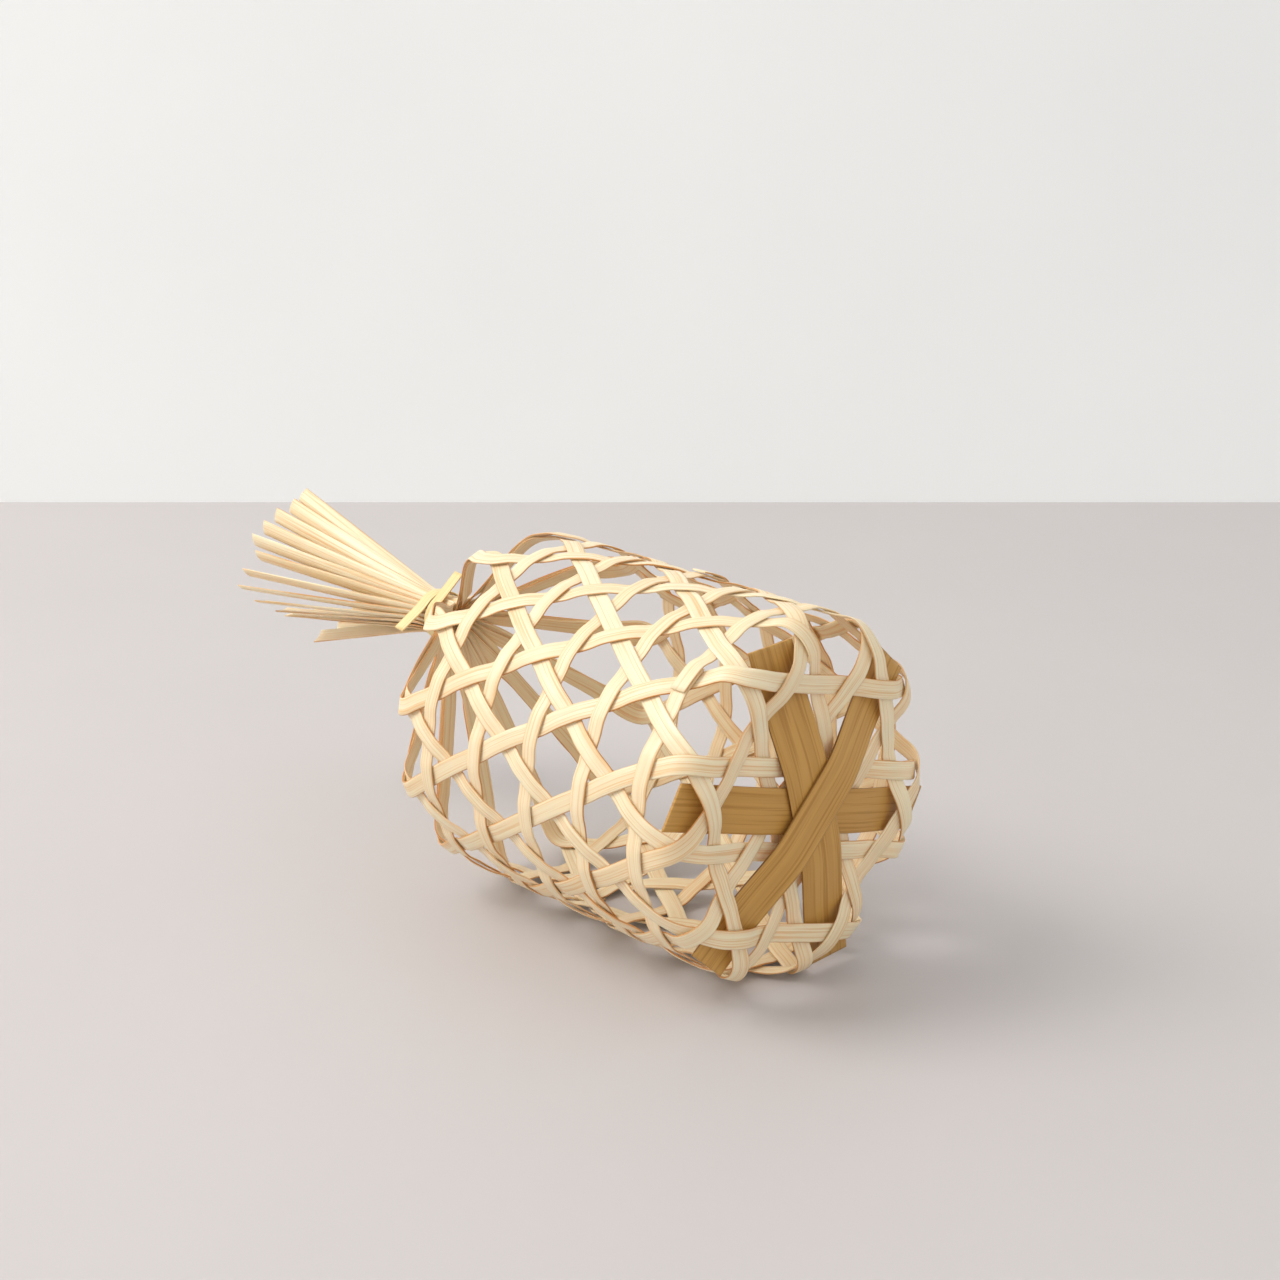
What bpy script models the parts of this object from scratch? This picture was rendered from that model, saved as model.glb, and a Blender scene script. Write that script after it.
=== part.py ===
"""A small basket in open hexagonal weave, closed by tying its strips, lying on its side.

Twelve long strips cross the round base, climb the wall and are gathered to a neck, where a
tie holds them and their ends spread as a tuft. Five hoops lock the wall, and three wide
slats stiffen the base. Everything is in metres, +Z up, the basket's axis along +Y.
"""

import math

import bpy
import numpy as np

for leftover in list(bpy.data.objects):
    bpy.data.objects.remove(leftover)

# ---- sizes, in metres and degrees ------------------------------------------------------------
STRIP_SPACING = 0.0170  # between neighbouring parallel strips of the base
STRIP_WIDTH = 0.0039
STRIP_THICK = 0.00045
WEAVE_GAP = 0.00024  # air between two strips where they cross

HOOP_COUNT = 5
FIRST_HOOP_HEIGHT = 0.0108  # from the base to the middle of the first hoop
HOOP_RISE = 0.01615  # from one hoop to the next
LAST_CROSSING_RISE = 0.0074  # from the last hoop to the crossings above it
EDGE_RADIUS = 0.0050  # where the base turns up into the wall
SHOULDER_RADIUS = 0.0045  # where the wall turns in towards the neck
SHOULDER_RISE = 0.0008  # from the last crossings to the start of that turn

CONE_LENGTH = 0.0295  # from the last crossings to the neck
CORNER_PUSH = 0.0019  # how far the slat ends push out the strips that cross over them
NECK_LENGTH = 0.0070
NECK_LIFT = 0.0158  # how far the neck stands above the basket's axis
BULGE = 0.0040  # how far the wall swells on one side, most of it all the way up
BULGE_SIDE = 55.0  # where it swells, in degrees above level
ARCH = 0.0055  # how far the strips above the neck, which have length to spare, stand up in an arch
NECK_EASE = 0.0060  # length over which the strips straighten into the neck
NECK_GAP = 0.00020  # air between the gathered strips
TUFT_LENGTH = 0.0615
TUFT_OPENING = 0.09  # slope at which all its strips open out together
TUFT_FLARE = 0.10  # slope at which they part further, some more than others

SLAT_WIDTHS = {"inner": 0.0094, "middle": 0.0118, "outer": 0.0104}
SLAT_THICK = 0.0007
SLAT_LENGTH = 0.0735
SLAT_SKEWS = {"inner": 0.0013, "middle": 0.0013, "outer": -0.0003}  # of the corners from square
SLAT_GAP = 0.00015
SLAT_DIP = 0.115  # slope of the tucked ends into the basket

TIE_WIDTH = 0.0034
TIE_THICK = 0.0004
TIE_TURNS = 1.08
TIE_PITCH = 0.0038
TIE_TAIL = 0.0078
TIE_SPLAY = 0.25  # slope at which its two ends stand away from the turns

LIE_ANGLE = 15.0  # turn about the axis, so that the wall rests between two rows of crossings

# ---- what follows from the sizes -------------------------------------------------------------
STEP = 15.0  # degrees between neighbouring crossings round a hoop
WALL_RADIUS = 24 * STRIP_SPACING / math.sqrt(3) / (2 * math.pi) * 0.9767
WEAVE = (STRIP_THICK + WEAVE_GAP) / 2  # how far a strip stands off the middle of the weave
WALL_LEAN = math.atan2(HOOP_RISE, WALL_RADIUS * math.radians(STEP))  # of strips to hoops
HOLD = 0.45 * STRIP_WIDTH / math.tan(WALL_LEAN / 2)  # half the length it keeps that stand-off
EDGE_STAND = 1.4  # share by which it stands off further on the rounded edge and shoulder
FLAT_RADIUS = WALL_RADIUS - EDGE_RADIUS
EDGE_LENGTH = EDGE_RADIUS * math.pi / 2
WALL_START = FLAT_RADIUS + EDGE_LENGTH
LAST_CROSSING = FIRST_HOOP_HEIGHT + (HOOP_COUNT - 1) * HOOP_RISE + LAST_CROSSING_RISE
SHOULDER_START = LAST_CROSSING + SHOULDER_RISE
NECK_START = LAST_CROSSING + CONE_LENGTH
NECK_END = NECK_START + NECK_LENGTH
UP = math.radians(90 + LIE_ANGLE)
GATHER_RUN = 0.87 * STRIP_SPACING  # length over which the strips turn to run straight to the neck
GATHER_SWAY = math.tan(math.radians(30)) * GATHER_RUN / WALL_RADIUS  # of the angle in that turn
LIFT_WAY = np.array([math.cos(UP), math.sin(UP), 0.0])

# Two strips that cross in the last row run on to the neck as a pair, one on the other. There
# they part, and all lie like the blades of a pinwheel, each along an involute of this circle.
PACK_RADIUS = 24 * (STRIP_THICK + NECK_GAP) / (2 * math.pi)
NECK_MIDDLE = PACK_RADIUS * math.sqrt(1 + STRIP_WIDTH / PACK_RADIUS)
NECK_OUTSIDE = PACK_RADIUS * math.sqrt(1 + 2 * STRIP_WIDTH / PACK_RADIUS)
PARTED = NECK_MIDDLE + 0.068 * WALL_RADIUS  # radius within which a pair has parted
PAIRED = NECK_MIDDLE + 0.273 * WALL_RADIUS  # radius beyond which it lies together


def cone_slope():
    """Angle between the gathered strips and the axis, found by halving."""
    low, high = 0.05, 1.5
    for _ in range(60):
        angle = (low + high) / 2
        radius = WALL_RADIUS - SHOULDER_RADIUS * (1 - math.cos(angle))
        height = SHOULDER_START + SHOULDER_RADIUS * math.sin(angle)
        run = NECK_START - NECK_EASE / 2 - height
        if radius - NECK_MIDDLE > run * math.tan(angle):
            low = angle
        else:
            high = angle
    return angle


CONE_ANGLE = cone_slope()
SHOULDER_LENGTH = SHOULDER_RADIUS * CONE_ANGLE


def eased(x, ease):
    """A straight ramp that starts with a curve of this length."""
    if x <= 0:
        return 0.0
    if x < ease:
        return x * x / (2 * ease)
    return x - ease / 2


def lift(height):
    """How far the section at this height is carried upwards."""
    start = SHOULDER_START
    end = NECK_START - NECK_EASE / 2
    ramp = eased(height - start, NECK_EASE) - eased(height - end + NECK_EASE / 2, NECK_EASE)
    return NECK_LIFT * ramp / (end - start - NECK_EASE / 2)


def profile(way):
    """Radius and height of the basket's skin, by the way along it from the middle of the base."""
    if way <= FLAT_RADIUS:
        return way, 0.0
    if way <= WALL_START:
        turn = (way - FLAT_RADIUS) / EDGE_RADIUS
        radius = FLAT_RADIUS + EDGE_RADIUS * math.sin(turn)
        return radius, EDGE_RADIUS * (1 - math.cos(turn))
    height = EDGE_RADIUS + way - WALL_START
    if height <= SHOULDER_START:
        return WALL_RADIUS, height
    turn = min((height - SHOULDER_START) / SHOULDER_RADIUS, CONE_ANGLE)
    beyond = height - SHOULDER_START - SHOULDER_RADIUS * turn
    radius = WALL_RADIUS - SHOULDER_RADIUS * (1 - math.cos(turn)) - beyond * math.sin(turn)
    height = SHOULDER_START + SHOULDER_RADIUS * math.sin(turn) + beyond * math.cos(turn)
    return radius, height


def way_at(height):
    """The way along the skin to this height of the wall."""
    return WALL_START + height - EDGE_RADIUS


def clamp(x):
    return min(max(x, 0.0), 1.0)


def bulge(height, angle):
    """How far the wall stands out beyond its round, growing a little towards the shoulder."""
    rise = 0.65 + 0.35 * clamp(height / SHOULDER_START) ** 2
    fall = clamp((NECK_START - NECK_EASE - height) / (CONE_LENGTH - NECK_EASE))
    facing = max(math.cos(angle - math.radians(BULGE_SIDE + LIE_ANGLE)), 0.0)
    arch = ARCH * math.sin(math.pi * fall) ** 2 * max(math.cos(angle - UP), 0.0) ** 2
    return BULGE * rise * fall * facing * facing + arch


def push(way, angle):
    """How far the base stands out where a slat end is tucked in."""
    away = (way - math.sqrt(3) * STRIP_SPACING) / (0.36 * STRIP_SPACING)
    return CORNER_PUSH * math.exp(-away * away) * math.cos(3 * angle) ** 2


def skin_point(way, angle):
    radius, height = profile(way)
    radius += bulge(height, angle) * clamp((way - FLAT_RADIUS) / EDGE_LENGTH)
    height -= push(way, angle)
    spot = np.array([radius * math.cos(angle), radius * math.sin(angle), height])
    return spot + lift(height) * LIFT_WAY


def unit(vector):
    return vector / np.linalg.norm(vector)


def skin(way, angle):
    """A point of the skin and its outward normal, in the basket's own frame."""
    round_it = skin_point(way, angle + 0.002) - skin_point(way, angle - 0.002)
    along_it = skin_point(way + 0.0001, angle) - skin_point(way - 0.0001, angle)
    return skin_point(way, angle), unit(np.cross(round_it, along_it))


# ---- ribbons ---------------------------------------------------------------------------------
def section(centre, along, normal, width, thick):
    """The two faces of a flat strip at one station, as pairs of points."""
    across = unit(np.cross(normal, along))
    out = unit(np.cross(along, across))
    line = [centre - across * width / 2, centre + across * width / 2]
    return [p + out * thick / 2 for p in line], [p - out * thick / 2 for p in line]


def bridge(a, b):
    """Faces between two rows of vertex numbers, each two or three long."""
    if len(a) == len(b):
        return [(a[i], a[i + 1], b[i + 1], b[i]) for i in range(len(a) - 1)]
    if len(a) < len(b):
        return [(a[0], b[1], b[0]), (a[0], a[1], b[1]), (a[1], b[2], b[1])]
    return [(a[0], a[1], b[0]), (a[1], b[1], b[0]), (a[1], a[2], b[1])]


def ribbon(stations):
    """Points and faces of a closed strip through the stations, each (outer row, inner row)."""
    points, faces, rows = [], [], []
    for outer, inner in stations:
        start = len(points)
        points.extend(outer)
        points.extend(inner)
        top = list(range(start, start + len(outer)))
        bottom = list(range(start + len(outer), start + 2 * len(outer)))
        rows.append((top, bottom))
    for (top, bottom), (next_top, next_bottom) in zip(rows, rows[1:]):
        faces.extend(bridge(top, next_top))
        faces.extend(face[::-1] for face in bridge(bottom, next_bottom))
        faces.append((top[-1], bottom[-1], next_bottom[-1], next_top[-1]))
        faces.append((bottom[0], top[0], next_top[0], next_bottom[0]))
    first, last = rows[0], rows[-1]
    faces.append(tuple(first[1] + first[0][::-1]))
    faces.append(tuple(last[0] + last[1][::-1]))
    return np.array(points), faces


# ---- the twelve long strips ------------------------------------------------------------------
# Each direction of the base has four parallel strips. Seen from outside the base, the level ones
# pass over the falling ones, those over the rising ones, and those over the level ones.
DIRECTIONS = {"level": 0.0, "rising": 60.0, "falling": 120.0}
OVER = {("level", "falling"), ("falling", "rising"), ("rising", "level")}
OFFSETS = {1: 1.5, 2: 0.5, 3: -0.5, 4: -1.5}
# Where each end meets the first hoop, in degrees, and whether it climbs left (+) or right (-).
ENDS = {
    ("level", 1): ((142.5, 1), (37.5, -1)),
    ("level", 2): ((172.5, 1), (7.5, -1)),
    ("level", 3): ((187.5, -1), (352.5, 1)),
    ("level", 4): ((217.5, -1), (322.5, 1)),
    ("rising", 1): ((202.5, 1), (97.5, -1)),
    ("rising", 2): ((232.5, 1), (67.5, -1)),
    ("rising", 3): ((247.5, -1), (52.5, 1)),
    ("rising", 4): ((277.5, -1), (22.5, 1)),
    ("falling", 1): ((262.5, 1), (157.5, -1)),
    ("falling", 2): ((292.5, 1), (127.5, -1)),
    ("falling", 3): ((307.5, -1), (112.5, 1)),
    ("falling", 4): ((337.5, -1), (82.5, 1)),
}


def line_of(family):
    angle = math.radians(DIRECTIONS[family])
    along = np.array([math.cos(angle), math.sin(angle)])
    return along, np.array([-along[1], along[0]])


def base_crossings(family, number):
    """Where this strip crosses the others on the base: (distance along it, over or under)."""
    along, aside = line_of(family)
    found = []
    for other in DIRECTIONS:
        if other == family:
            continue
        other_aside = line_of(other)[1]
        for offset in OFFSETS.values():
            here = OFFSETS[number] * STRIP_SPACING
            distance = (offset * STRIP_SPACING - here * (aside @ other_aside)) / (along @ other_aside)
            if math.hypot(distance, here) < 2.2 * STRIP_SPACING:
                found.append((distance, 1 if (family, other) in OVER else -1))
    return sorted(found)


def half_strip(family, number, side):
    """Path and stand-off table of one half of a strip, from the middle of the base to the neck."""
    along, aside = line_of(family)
    along = along * side
    here = OFFSETS[number] * STRIP_SPACING * aside
    crossings = [(d * side, over) for d, over in base_crossings(family, number) if d * side > 0]
    crossings.sort()
    reach, over = crossings[-1]
    crossings[-1] = (reach, over * EDGE_STAND)
    end = here + reach * along
    first_angle, lean = ENDS[(family, number)][0 if side < 0 else 1]
    angle = math.atan2(end[1], end[0])
    knots = [(reach, math.hypot(*end), angle)]
    rows = [0.5 * k for k in range(2, 2 * HOOP_COUNT + 2)]
    table = list(crossings)
    for row in rows:
        height = FIRST_HOOP_HEIGHT + (row - 1) * HOOP_RISE
        if row == rows[-1]:
            height = LAST_CROSSING
        way = way_at(height)
        target = math.radians(first_angle + lean * STEP * (row - 1))
        turn = (target - knots[-1][2] + math.pi) % (2 * math.pi) - math.pi
        length = math.hypot(way - knots[-1][1], WALL_RADIUS * turn)
        knots.append((knots[-1][0] + length, way, knots[-1][2] + turn))
        half_row = row != int(row)
        over = lean if half_row else -lean
        table.append((knots[-1][0], over * EDGE_STAND if row == rows[-1] else over))
    knots.append((knots[-1][0] + GATHER_RUN, way + GATHER_RUN, knots[-1][2]))
    return here, along, knots, lean, table


def on_path(here, along, knots, lean, s):
    """Way along the skin and angle, at distance s along a half strip."""
    if s <= knots[0][0]:
        x, y = here + s * along
        return math.hypot(x, y), math.atan2(y, x)
    s = min(s, knots[-1][0] + 0.02)
    for (s0, way0, a0), (s1, way1, a1) in zip(knots, knots[1:]):
        if s <= s1:
            share = (s - s0) / (s1 - s0)
            sway = GATHER_SWAY * share * (1 - share) ** 2 if s1 == knots[-1][0] else 0.0
            return way0 + share * (way1 - way0), a0 + share * (a1 - a0) + lean * sway
    return way1 + s - s1, a1


def stand_off(table, s):
    """Distance from the middle of the weave: held through each crossing, swapped in between."""
    marks, values = [], []
    for distance, over in table:
        marks += [distance - HOLD, distance + HOLD]
        values += [over * WEAVE, over * WEAVE]
    marks.append(marks[-1] + STRIP_WIDTH)
    values.append(math.copysign(WEAVE, values[-1]))
    return float(np.interp(s, marks, values))


def woven_stations(family, number, side):
    """Stations of a half strip up to the shoulder, and the angle at which it gets there."""
    here, along, knots, lean, table = half_strip(family, number, side)
    spots = []
    for distance, _ in table:
        spots += [distance - HOLD, distance + HOLD]
    spots += [knots[0][0] + HOLD * share for share in (-0.5, 0.0, 0.5)]
    spots += [knots[-2][0] + HOLD * share for share in (0.0, 0.5)]
    search = np.linspace(0, knots[-1][0], 4000)
    ways = np.array([on_path(here, along, knots, lean, s)[0] for s in search])
    wanted = [FLAT_RADIUS, WALL_START]
    wanted += [way_at(SHOULDER_START) + share * SHOULDER_LENGTH for share in (1.0, 1.6)]
    wanted.append(way_at(LAST_CROSSING) + GATHER_RUN)
    spots += [float(np.interp(w, ways, search)) for w in wanted]
    spots = sorted(s for s in spots if s > 0)
    made = []
    for s in spots:
        point, normal = skin(*on_path(here, along, knots, lean, s))
        ahead = skin_point(*on_path(here, along, knots, lean, s + 0.0006))
        behind = skin_point(*on_path(here, along, knots, lean, s - 0.0006))
        way = unit(ahead - behind)
        centre = point + normal * stand_off(table, s)
        made.append(section(centre, way, normal, STRIP_WIDTH, STRIP_THICK))
    return made, knots[-1][2], lean


def involute(base, sweep):
    """Radius and angle of a point of the involute of a circle."""
    return base * math.sqrt(1 + sweep * sweep), sweep - math.atan(sweep)


def blade(middle, angle, lean, height, outwards):
    """Three points across a gathered strip, one of the pair about this angle."""
    spread = min(1.0, (middle - NECK_MIDDLE) / 0.003)
    together = clamp((middle - PARTED) / (PAIRED - PARTED)) if height < NECK_START else 0.0
    base = PACK_RADIUS * (1 + 0.85 * spread)
    if height > NECK_END:
        base = (math.sqrt(STRIP_WIDTH**2 + 4 * middle**2) - STRIP_WIDTH) / 2
    sweep = math.sqrt((middle / base) ** 2 - 1)
    aside = lean * math.radians(STEP / 2)
    turn = angle + aside + involute(base, sweep)[1]
    slid = sweep + aside * together * (1 + 1 / sweep**2)
    aim = angle + aside * (1 - together)
    outward = np.array([math.cos(aim), math.sin(aim), 0.0])
    row = []
    for part in (-1, 0, 1):
        radius, local = involute(base, math.sqrt(max(slid**2 + part * STRIP_WIDTH / base, 0.0)))
        flat = np.array([radius * math.cos(turn - local), radius * math.sin(turn - local), height])
        row.append(flat + outward * outwards + lift(height) * LIFT_WAY)
    return np.array(row)


def cone_radius(height):
    slope = math.tan(CONE_ANGLE)
    return NECK_MIDDLE + slope * eased(NECK_START - height, NECK_EASE)


def gathered_stations(angle, lean, length, flare):
    """Stations of a strip from the shoulder through the neck to the end of the tuft."""
    def row(height):
        beyond = eased(height - NECK_END, 0.004)
        outwards = flare * beyond + bulge(height, angle)
        middle = cone_radius(height) + TUFT_OPENING * beyond
        return blade(middle, angle, lean, height, outwards)

    start = profile(way_at(LAST_CROSSING) + GATHER_RUN)[1]
    run = NECK_START - start
    heights = [start + run * share for share in (0.18, 0.36, 0.50, 0.62, 0.73, 0.83, 0.92)]
    heights += [NECK_START, NECK_END, NECK_END + 0.004, NECK_END + length * 0.5]
    heights.append(NECK_END + length)
    made = []
    for height in heights:
        line = row(height)
        way = unit(row(height + 0.0002)[1] - row(height - 0.0002)[1])
        chords = [line[1] - line[0], line[2] - line[0], line[2] - line[1]]
        outs = [unit(np.cross(way, chord)) * STRIP_THICK / 2 for chord in chords]
        made.append(([p + o for p, o in zip(line, outs)], [p - o for p, o in zip(line, outs)]))
    return made


# The tuft spreads unevenly: ends pull apart in a few groups, and no two are cut alike.
def tuft_end(angle):
    """Length and flare of the strip end that sits at this angle."""
    place = int(round((math.degrees(angle) % 360 - 7.5) / 15)) % 24
    group = 5 - place % 6
    noise = math.sin(place * 12.9898) * 43758.5453
    noise = noise - math.floor(noise)
    length = TUFT_LENGTH * (0.88 + 0.12 * math.cos(angle - UP - 0.5)) * (0.90 + 0.10 * noise)
    flare = TUFT_FLARE * (0.50 + 0.26 * group)
    return length, flare


def facing_across(stations, flip):
    """The same stations with their rows reversed, for a half strip walked the other way."""
    if not flip:
        return stations
    return [(outer[::-1], inner[::-1]) for outer, inner in stations]


def long_strip(family, number):
    halves = []
    for side in (-1, 1):
        woven, angle, lean = woven_stations(family, number, side)
        own = tuft_end(angle + lean * math.radians(STEP / 2))
        gathered = gathered_stations(angle, lean, *own)
        halves.append(woven + gathered)
    first = facing_across(halves[0][::-1], True)
    return ribbon(first + halves[1])


# ---- hoops -----------------------------------------------------------------------------------
SEAMS = {1: 4, 2: 9, 3: 1, 4: 7, 5: 11}  # which left-climbing strip hides each hoop's joint


def hoop(number):
    height = FIRST_HOOP_HEIGHT + (number - 1) * HOOP_RISE
    start = 22.5 + 15 * (number - 1) + 30 * SEAMS[number]
    half = math.degrees(HOLD / WALL_RADIUS)
    end_layer = WEAVE + STRIP_THICK + WEAVE_GAP
    marks = [(start - half - 0.2, WEAVE), (start + half, WEAVE)]
    for k in range(1, 24):
        over = WEAVE if k % 2 == 0 else -WEAVE
        marks += [(start + STEP * k - half, over), (start + STEP * k + half, over)]
    marks[-1] = (marks[-1][0] + 0.5, marks[-1][1])
    marks += [(start + 360 - half - 0.4, end_layer), (start + 360 + half + 0.4, end_layer)]
    made = []
    for angle, off in marks:
        a = math.radians(angle)
        point, out = skin(way_at(height), a)
        way = unit(skin(way_at(height), a + 0.01)[0] - skin(way_at(height), a - 0.01)[0])
        made.append(section(point + out * off, way, out, STRIP_WIDTH, STRIP_THICK))
    return ribbon(made)


# ---- base slats ------------------------------------------------------------------------------
SLATS = {"inner": 0.0, "middle": 120.0, "outer": 60.0}


def slat(layer):
    """A wide slat: outside the weave in the middle, tucked inside it at both ends."""
    clear = WEAVE + STRIP_THICK / 2 + WEAVE_GAP + SLAT_THICK / 2
    level = list(SLATS).index(layer)
    outermost = -clear - level * (SLAT_THICK + SLAT_GAP)
    half = SLAT_LENGTH / 2
    width = SLAT_WIDTHS[layer]
    rest = max(SLAT_WIDTHS.values()) / 2 * math.tan(math.radians(60)) + 0.0002
    leave = 0.577 * STRIP_SPACING + (width / 2 + STRIP_WIDTH) / math.sqrt(3)
    tuck = 1.732 * STRIP_SPACING - (width / 2 + STRIP_WIDTH) / math.sqrt(3)
    tucked = clear - 0.45 * CORNER_PUSH
    straight = outermost + (tucked - outermost) * (leave - rest) / (tuck - rest)
    marks = [(0, outermost), (rest, outermost), (leave, min(-clear, straight)), (tuck, tucked)]
    marks.append((half, tucked + SLAT_DIP * (half - tuck)))
    angle = math.radians(SLATS[layer])
    way = np.array([math.cos(angle), math.sin(angle), 0.0])
    across = np.array([-way[1], way[0], 0.0])
    places = sorted({-s for s, _ in marks} | {s for s, _ in marks})
    places = [s for s in places if s != 0]
    made = []
    for s in places:
        drop = float(np.interp(abs(s), [m[0] for m in marks], [m[1] for m in marks]))
        skew = SLAT_SKEWS[layer] if abs(s) == half else 0.0
        line = []
        for edge in (-1, 1):
            line.append(way * (s + edge * skew) + across * edge * width / 2)
        face = np.array([0, 0, SLAT_THICK / 2])
        level_here = np.array([0, 0, drop])
        outer = [p + level_here - face for p in line]
        inner = [p + level_here + face for p in line]
        made.append((outer[::-1], inner[::-1]))
    return ribbon(made)


# ---- the tie ---------------------------------------------------------------------------------
def neck_tie():
    """A strip wound round the neck, with both ends left standing out."""
    radius = NECK_OUTSIDE + STRIP_THICK / 2 + WEAVE_GAP + TIE_THICK / 2
    front = UP + math.radians(60)
    middle = NECK_START + NECK_LENGTH / 2
    centre = LIFT_WAY * NECK_LIFT
    steps = int(16 * TIE_TURNS)
    run = TIE_PITCH * TIE_TURNS
    lean = TIE_PITCH / (2 * math.pi * radius)
    made = []
    for k in range(-1, steps + 2):
        share = min(max(k / steps, 0), 1)
        angle = front - 2 * math.pi * TIE_TURNS * share
        out = np.array([math.cos(angle), math.sin(angle), 0.0])
        way = unit(np.array([math.sin(angle), -math.cos(angle), -lean]))
        spot = centre + out * radius + np.array([0, 0, middle + run * (0.5 - share)])
        if k < 0:
            spot = spot + unit(TIE_SPLAY * (out + np.array([0, 0, 1])) - way) * TIE_TAIL
        if k > steps:
            spot = spot + unit(TIE_SPLAY * out + way) * TIE_TAIL
        made.append(section(spot, way, out, TIE_WIDTH, TIE_THICK))
    return ribbon(made)


# ---- from the basket's own frame to the room -------------------------------------------------
def laid_down(points):
    """Axis along +Y with the base towards -Y, turned so that it rests between two rows."""
    turn = math.radians(-LIE_ANGLE)
    x = points[:, 0] * math.cos(turn) - points[:, 1] * math.sin(turn)
    z = points[:, 0] * math.sin(turn) + points[:, 1] * math.cos(turn)
    return np.stack([x, points[:, 2], z], axis=1)


COLOURS = {
    "strip": (0.93, 0.80, 0.56, 1.0),
    "hoop": (0.95, 0.84, 0.62, 1.0),
    "slat": (0.60, 0.42, 0.20, 1.0),
    "tie": (0.90, 0.80, 0.52, 1.0),
}


def add_piece(name, kind, points, faces):
    centre = (points.max(axis=0) + points.min(axis=0)) / 2
    mesh = bpy.data.meshes.new(name)
    mesh.from_pydata([tuple(p) for p in points - centre], [], faces)
    mesh.validate()
    material = bpy.data.materials.new(name + "_bamboo")
    material.use_nodes = True
    shader = material.node_tree.nodes["Principled BSDF"]
    shader.inputs["Base Color"].default_value = COLOURS[kind]
    shader.inputs["Roughness"].default_value = 0.5
    mesh.materials.append(material)
    for face in mesh.polygons:
        face.use_smooth = True
    mesh.set_sharp_from_angle(angle=math.radians(30))
    thing = bpy.data.objects.new(name, mesh)
    thing.location = tuple(float(v) for v in centre)
    bpy.context.scene.collection.objects.link(thing)


pieces = []
for family in DIRECTIONS:
    for number in OFFSETS:
        pieces.append((f"strip_{family}_{number}", "strip", *long_strip(family, number)))
for number in range(1, HOOP_COUNT + 1):
    pieces.append((f"hoop_{number}", "hoop", *hoop(number)))
for layer in SLATS:
    pieces.append((f"base_slat_{layer}", "slat", *slat(layer)))
pieces.append(("neck_tie", "tie", *neck_tie()))

placed = [(name, kind, laid_down(points), faces) for name, kind, points, faces in pieces]
lowest = np.min([points.min(axis=0) for _, _, points, _ in placed], axis=0)
highest = np.max([points.max(axis=0) for _, _, points, _ in placed], axis=0)
origin = np.array([(lowest[0] + highest[0]) / 2, (lowest[1] + highest[1]) / 2, lowest[2]])
for name, kind, points, faces in placed:
    add_piece(name, kind, points - origin, faces)
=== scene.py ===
# %% [markdown]
# # A small strip basket in open hexagonal weave
# The basket lies on its side on a pale table. Twelve long bamboo strips cross its flat base in
# three directions, climb the wall, and are gathered to a tied neck, where their ends spread as
# a tuft. Five hoops lock the wall and three wide slats stiffen the base.
#
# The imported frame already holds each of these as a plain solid, in its right place. This lesson
# follows the same weave again, with finer strips that have rounded edges, uneven widths and a
# grain that runs along them. Each fine strip then stands for its plain solid.

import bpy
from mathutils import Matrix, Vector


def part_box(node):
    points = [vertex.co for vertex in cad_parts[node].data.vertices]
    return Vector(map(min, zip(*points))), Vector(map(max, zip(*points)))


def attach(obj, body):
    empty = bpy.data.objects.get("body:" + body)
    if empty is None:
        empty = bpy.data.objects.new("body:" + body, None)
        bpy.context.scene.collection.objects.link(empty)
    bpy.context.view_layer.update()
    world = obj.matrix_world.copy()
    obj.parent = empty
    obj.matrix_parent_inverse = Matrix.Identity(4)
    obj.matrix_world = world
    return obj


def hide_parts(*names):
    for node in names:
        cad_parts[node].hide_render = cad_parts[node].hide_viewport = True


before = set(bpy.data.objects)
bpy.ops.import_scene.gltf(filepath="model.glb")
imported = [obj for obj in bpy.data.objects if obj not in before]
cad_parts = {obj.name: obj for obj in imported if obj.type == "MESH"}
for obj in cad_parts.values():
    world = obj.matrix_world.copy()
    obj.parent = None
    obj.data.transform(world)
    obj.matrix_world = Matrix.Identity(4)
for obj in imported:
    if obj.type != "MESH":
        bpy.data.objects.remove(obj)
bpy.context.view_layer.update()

# %% [markdown]
# ## Sizes
# One table of sizes drives everything, as a basket maker's does: how far apart the strips lie,
# how wide and thick they are split, and at what heights the hoops go. All are in metres.

# %% Sizes of the weave
import math

import bpy
import numpy as np
from mathutils import Vector

STRIP_SPACING = 0.0170
STRIP_WIDTH = 0.0039
STRIP_THICK = 0.00045
WEAVE_GAP = 0.00024
HOOP_COUNT = 5
FIRST_HOOP_HEIGHT = 0.0108
HOOP_RISE = 0.01615
LAST_CROSSING_RISE = 0.0074
EDGE_RADIUS = 0.0050
SHOULDER_RADIUS = 0.0045
SHOULDER_RISE = 0.0008

# %% Sizes of the neck, the tuft, the slats and the tie
CONE_LENGTH = 0.0295
CORNER_PUSH = 0.0019
NECK_LENGTH = 0.0070
NECK_LIFT = 0.0158
NECK_EASE = 0.0060
NECK_GAP = 0.00020
BULGE = 0.0040
BULGE_SIDE = 55.0
ARCH = 0.0055
TUFT_LENGTH = 0.0615
TUFT_OPENING = 0.09
TUFT_FLARE = 0.10
SLAT_WIDTHS = {"inner": 0.0094, "middle": 0.0118, "outer": 0.0104}
SLAT_SKEWS = {"inner": 0.0013, "middle": 0.0013, "outer": -0.0003}
SLAT_THICK = 0.0007
SLAT_LENGTH = 0.0735
SLAT_GAP = 0.00015
SLAT_DIP = 0.115
TIE_WIDTH = 0.0034
TIE_THICK = 0.0004
TIE_TURNS = 1.08
TIE_PITCH = 0.0038
TIE_TAIL = 0.0078
TIE_SPLAY = 0.25
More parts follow.
